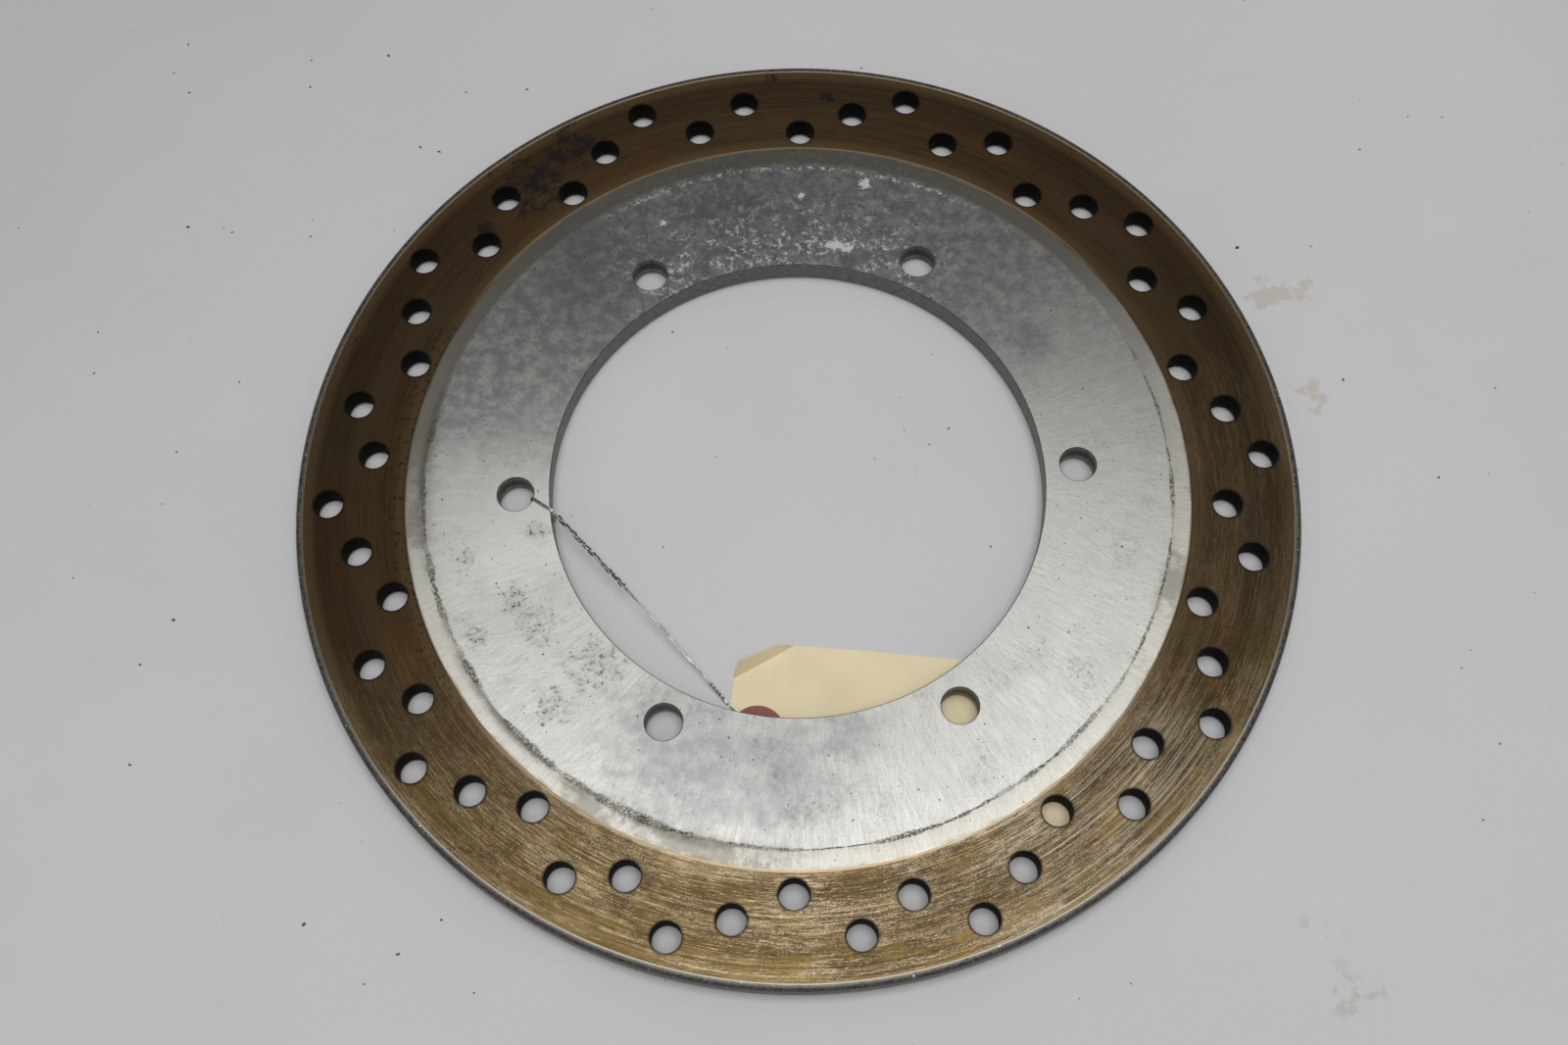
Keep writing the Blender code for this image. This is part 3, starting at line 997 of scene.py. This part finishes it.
def binding_strands(bound, up):
    """The two ends wound round the core, each with its short tail standing off where it stops."""

    def turns(distance):
        return BINDING_TWIST * distance + 0.35 * math.sin(distance * 0.45)

    def offset(distance):
        return STRAND * (1.15 + 0.2 * math.sin(distance * 0.9))

    strands = []
    tail = Vector((0.25, -1.0, -0.35)).normalized()
    for half, tail_step in ((0.0, 0.28), (0.3, 0.35)):
        strand = wound(bound, up, offset, lambda d, h=half: turns(d) + h, 0.16, 5.0 + half)
        last = strand[-1]
        strand += [last + tail * (tail_step * (k + 1)) for k in range(4)]
        strands.append(strand)
    return strands


def make_wire():
    """The doubled wire: hitched round the web, bound with its own ends, then twisted to the tag."""
    up = Vector((0.0, 0.0, 1.0))
    material = wire_material()
    stem = smooth_route(STEM_ROUTE, 0.18)
    frames = frames_along(stem, up)
    length = frames[-1][3]
    bound_to = BOUND_SHARE * length
    bound = [point for point, _, _, distance in frames if distance < bound_to]
    strands = core_strands(stem, length, bound_to, up) + binding_strands(bound, up)
    run = wire_object("tag_wire_run", strands, up)

    hitch = smooth_route(HITCH_ROUTE, 0.2)
    beside = Vector((0.55, 0.83, 0.0))
    pair = [[point + beside * side * STRAND * 0.52 for point in hitch] for side in (-1, 1)]
    loop = wire_object("tag_wire_hitch", pair, beside)

    end = wire_object("tag_wire_eye", [smooth_route(EYE_ROUTE, 0.2)], Vector((0.7, 0.7, 0.0)))

    for piece, node in ((run, "tag_wire"), (loop, "wire_hitch"), (end, "wire_eye")):
        piece.data.materials.append(material)
        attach(piece, "wire")
        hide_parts(node)
    [c * MM for c in HITCH_ROUTE[-1]]


# ------------ the tag


def tag_place(along, across, height):
    """A point of the tag, from its place along and across the card and its height in the part's frame."""
    x = EYELET.x + along * math.cos(TAG_ANGLE) - across * math.sin(TAG_ANGLE)
    y = EYELET.y + along * math.sin(TAG_ANGLE) + across * math.cos(TAG_ANGLE)
    return Vector((x, y, height))


def card_material():
    """Buff manila card: faint fibres, soft handling marks, and painted shade on the turned-up corner."""
    g = Graph("manila_card")
    x, y, _ = g.place()
    flat = g.vector(x, y, 0.0)
    fibres = g.noise(flat, scale=1.6, detail=6.0, roughness=0.7)
    handling = g.noise(flat, scale=0.06, detail=3.0)
    card = g.mix(g.step(handling, 0.35, 0.7), (0.92, 0.80, 0.535), (0.865, 0.74, 0.48))
    card = g.coat(card, (0.58, 0.46, 0.27), g.step(fibres, 0.5, 0.75, 0.0, 0.25))
    start = tag_place(*FOLD_START, 0.0)
    normal = tag_place(*FOLD_NORMAL, 0.0) - tag_place(0.0, 0.0, 0.0)
    shade_past_fold = g.product(g.minus(x, start.x), normal.x)
    shade_past_fold = g.scaled(g.minus(y, start.y), normal.y, shade_past_fold)
    # Painted shade: the turned-up corner darkened, as it tilts away from the ceiling light.
    card = g.coat(card, (0.66, 0.54, 0.34), g.step(shade_past_fold, 0.0, 0.4, 0.0, 0.32))
    g.bump(fibres, 0.03, 0.6)
    return g.surface(card, 0.82, 0.0)


def patch_material():
    """Dull red fibre, faintly mottled."""
    g = Graph("fibre_patch")
    x, y, _ = g.place()
    fibres = g.noise(g.vector(x, y, 0.0), scale=2.2, detail=6.0, roughness=0.75)
    color = g.mix(g.step(fibres, 0.35, 0.7), (0.24, 0.075, 0.06), (0.36, 0.135, 0.10))
    g.bump(fibres, 0.03, 0.6)
    return g.surface(color, 0.75, 0.0)


def fold_corner(along, across):
    """(along, across, rise) of a point of the card once the corner is folded up."""
    past = (along - FOLD_START[0]) * FOLD_NORMAL[0] + (across - FOLD_START[1]) * FOLD_NORMAL[1]
    if past <= 0:
        return along, across, 0.0
    turn = FOLD_TURN * ramp(past, 0.0, FOLD_SOFTNESS)
    drawn_in = past * (1 - math.cos(turn))
    return along - FOLD_NORMAL[0] * drawn_in, across - FOLD_NORMAL[1] * drawn_in, past * math.sin(turn)


def card_height(along, across):
    """Height of the card's middle layer: lifted at the eyelet, and wavy along its far edge."""
    rest = FLOOR + CARD_THICKNESS / 2 + 0.02
    by_wire = math.exp(-((math.hypot(along, across) / EYELET_LIFT_REACH) ** 2))
    edge = ramp(across, 14.0, TAG_WIDTH / 2)
    wave = math.exp(-(((along - 31.0) / 9.0) ** 2)) - 0.5 * math.exp(-(((along - 50.0) / 8.0) ** 2))
    return rest + EYELET_LIFT * by_wire + WAVE_HEIGHT * edge * max(0.0, wave)


def card_grid():
    """The card's plain rectangle as a fine flat grid in mm, with the eyelet at 0, 0."""
    shape = bmesh.new()
    cells_along = round(TAG_LENGTH / CARD_CELL)
    cells_across = round(TAG_WIDTH / CARD_CELL)
    grid = []
    for i in range(cells_along + 1):
        column = []
        for j in range(cells_across + 1):
            along = TAG_LENGTH * i / cells_along - EYELET_TO_END
            across = TAG_WIDTH * j / cells_across - TAG_WIDTH / 2
            column.append(shape.verts.new((along, across, 0.0)))
        grid.append(column)
    for i in range(cells_along):
        for j in range(cells_across):
            shape.faces.new((grid[i][j], grid[i + 1][j], grid[i + 1][j + 1], grid[i][j + 1]))
    return shape


def card_mesh():
    """The card's middle layer, with its corners clipped, bent to its height and one corner folded."""
    shape = card_grid()
    for side, clip_along, clip_across in CLIPPED_CORNERS:
        bmesh.ops.bisect_plane(
            shape,
            geom=list(shape.verts) + list(shape.edges) + list(shape.faces),
            plane_co=(-EYELET_TO_END, side * (TAG_WIDTH / 2 - clip_across), 0.0),
            plane_no=Vector((-clip_across, side * clip_along, 0.0)).normalized(),
            clear_outer=True,
        )
    for vertex in shape.verts:
        along, across = vertex.co.x, vertex.co.y
        folded_along, folded_across, rise = fold_corner(along, across)
        vertex.co = tag_place(folded_along, folded_across, card_height(along, across) + rise) * MM
    return finished_mesh(shape, "tag_card_sheet")


def eyelet_punch():
    """A cylinder through the card at the eyelet."""
    shape = bmesh.new()
    radius = EYELET_RADIUS * MM
    bmesh.ops.create_cone(shape, cap_ends=True, segments=40, radius1=radius, radius2=radius, depth=4 * MM)
    punch = linked_object("eyelet_punch", finished_mesh(shape, "eyelet_punch"))
    punch.location = Vector((EYELET.x, EYELET.y, FLOOR)) * MM
    return punch


def patch_mesh(name, above):
    """A round fibre patch with the eyelet's hole, lying on one side of the card."""
    shape = bmesh.new()
    around, rings = 64, 10
    gap = 0.005
    offset = (CARD_THICKNESS + PATCH_THICKNESS) / 2 + gap
    loops = []
    for ring in range(rings + 1):
        radius = EYELET_RADIUS + (PATCH_RADIUS - EYELET_RADIUS) * ring / rings
        loop = []
        for i in range(around):
            turn = math.tau * i / around
            along, across = radius * math.cos(turn), radius * math.sin(turn)
            height = card_height(along, across) + (offset if above else -offset)
            loop.append(shape.verts.new(tag_place(along, across, height) * MM))
        loops.append(loop)
    for inner, outer in zip(loops, loops[1:]):
        bridge(shape, inner, outer)
    return finished_mesh(shape, name)


def make_card():
    card = linked_object("tag_card_sheet", card_mesh())
    thicken(card, CARD_THICKNESS)
    cut_away(card, eyelet_punch())
    card.data.materials.clear()
    card.data.materials.append(card_material())
    card.data.shade_smooth()
    card.data.set_sharp_from_angle(angle=CARD_CREASE)
    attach(card, "tag")
    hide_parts("tag_card")


def make_patches():
    fibre = patch_material()
    for name, node, above in (
        ("tag_patch_top", "tag_patch_front", True),
        ("tag_patch_under", "tag_patch_back", False),
    ):
        patch = linked_object(name, patch_mesh(name, above))
        thicken(patch, PATCH_THICKNESS)
        apply_modifiers(patch)
        patch.data.materials.append(fibre)
        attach(patch, "tag")
        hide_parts(node)


# ------------ the stage

PAPER_DULL = (0.648, 0.643, 0.645)
PAPER_BRIGHT = (0.684, 0.674, 0.679)
PAPER_FALLOFF_SHADE = (0.53, 0.53, 0.535)
PAPER_WEAVE = (0.56, 0.555, 0.56)
DRIP = (0.50, 0.45, 0.36)
CRUMB = (0.03, 0.025, 0.02)


def floor_drips(g, x, y, flat):
    """1 in the ragged drips at the floor's right."""
    ragged = g.step(g.noise(flat, scale=0.11, detail=4.0, roughness=0.6), 0.50, 0.60)
    drips = 0.0
    for drip_x, drip_y, size in FLOOR_STAINS:
        away = g.length(g.minus(x, drip_x), g.minus(y, drip_y))
        drips = g.highest(drips, g.step(away, size, size * 0.6))
    return g.product(drips, ragged)


def floor_crumbs(g, x, y, flat):
    """1 in the dark crumbs, with more of them at the far left."""
    crumbs = g.step(g.noise(flat, scale=0.35, detail=1.0), 0.795, 0.80)
    more = g.step(g.noise(flat, scale=0.9, detail=1.0), 0.81, 0.82)
    far_left = g.product(g.step(x, -130.0, -170.0), g.step(y, 0.0, 60.0))
    return g.highest(crumbs, g.product(more, far_left))


def floor_material():
    """Pale paper, with painted shade dimming it towards its far left, and a few brown drips and dark crumbs
    on it.
    """
    g = Graph("paper_floor")
    x, y, _ = g.place()
    flat = g.vector(x, y, 0.0)
    soft = g.noise(flat, scale=0.010, detail=4.0, roughness=0.6)
    weave = g.noise(flat, scale=0.7, detail=3.0, roughness=0.7)
    color = g.mix(g.step(soft, 0.3, 0.7), PAPER_DULL, PAPER_BRIGHT)
    # Painted shade: the light's falloff towards the far left.
    color = g.coat(color, PAPER_FALLOFF_SHADE, g.step(g.minus(x, y), -100.0, -480.0), 0.6)
    color = g.coat(color, DRIP, floor_drips(g, x, y, flat), 0.55)
    color = g.coat(color, CRUMB, floor_crumbs(g, x, y, flat))
    color = g.coat(color, PAPER_WEAVE, g.step(weave, 0.40, 0.70, 0.0, 0.12))
    g.bump(soft, 0.6, 0.3)
    return g.surface(color, 0.75, 0.0)


def make_floor():
    mesh = bpy.data.meshes.new("floor")
    side = FLOOR_HALF_SIDE * MM
    height = FLOOR * MM
    corners = [(-side, -side, height), (side, -side, height), (side, side, height), (-side, side, height)]
    mesh.from_pydata(corners, [], [(0, 1, 2, 3)])
    mesh.materials.append(floor_material())
    linked_object("floor", mesh)


def make_world():
    """A room that is dim above the disc, where the steel mirrors it, and lighter towards its walls."""
    world = bpy.data.worlds.new("room")
    bpy.context.scene.world = world
    world.use_nodes = True
    tree = world.node_tree
    direction = tree.nodes.new("ShaderNodeTexCoord").outputs["Generated"]
    split = tree.nodes.new("ShaderNodeSeparateXYZ")
    tree.links.new(direction, split.inputs[0])
    level = tree.nodes.new("ShaderNodeMapRange")
    level.interpolation_type = "SMOOTHSTEP"
    for socket, value in zip(level.inputs[1:5], (WALL_TOP, CEILING_START, WALL_LIGHT, CEILING_LIGHT)):
        socket.default_value = value
    tree.links.new(split.outputs["Z"], level.inputs[0])
    background = tree.nodes["Background"]
    background.inputs["Color"].default_value = (1.0, 1.0, 1.0, 1.0)
    tree.links.new(level.outputs[0], background.inputs["Strength"])


def make_panels():
    """The room's soft lights: a wide one straight above, and a weaker one above the near side."""
    for name, place, size, power in PANELS:
        light = bpy.data.lights.new(name, "AREA")
        light.shape = "RECTANGLE"
        light.size, light.size_y = size
        light.energy = power
        linked_object(name, light).location = place


def make_camera():
    """The photograph's view: from in front and above, a little turned and rolled against the disc."""
    frame_turn = math.radians(-1.915)
    elevation = math.radians(67.21)
    roll = math.radians(-1.311)
    distance = 524.8
    target = Vector((-4.234, -13.81, FACE))
    back = Vector((0.0, -math.cos(elevation), math.sin(elevation)))
    right = Vector((1.0, 0.0, 0.0))
    up = back.cross(right)
    turned_right = right * math.cos(roll) + up * math.sin(roll)
    turned_up = up * math.cos(roll) - right * math.sin(roll)
    placed = Matrix((turned_right, turned_up, back)).transposed().to_4x4()
    placed.translation = (target + back * distance) * MM
    camera_data = bpy.data.cameras.new("camera")
    camera_data.sensor_width = 36.0
    camera_data.lens = 41.186
    camera_data.clip_start = 0.01
    camera = linked_object("camera", camera_data)
    camera.matrix_world = Matrix.Rotation(frame_turn, 4, "Z") @ placed
    bpy.context.scene.camera = camera


def main():
    make_camera()
    make_wire()
    make_card()
    make_patches()
    make_disc()
    make_floor()
    make_panels()
    make_world()
    bpy.context.scene.view_settings.view_transform = "Standard"


main()
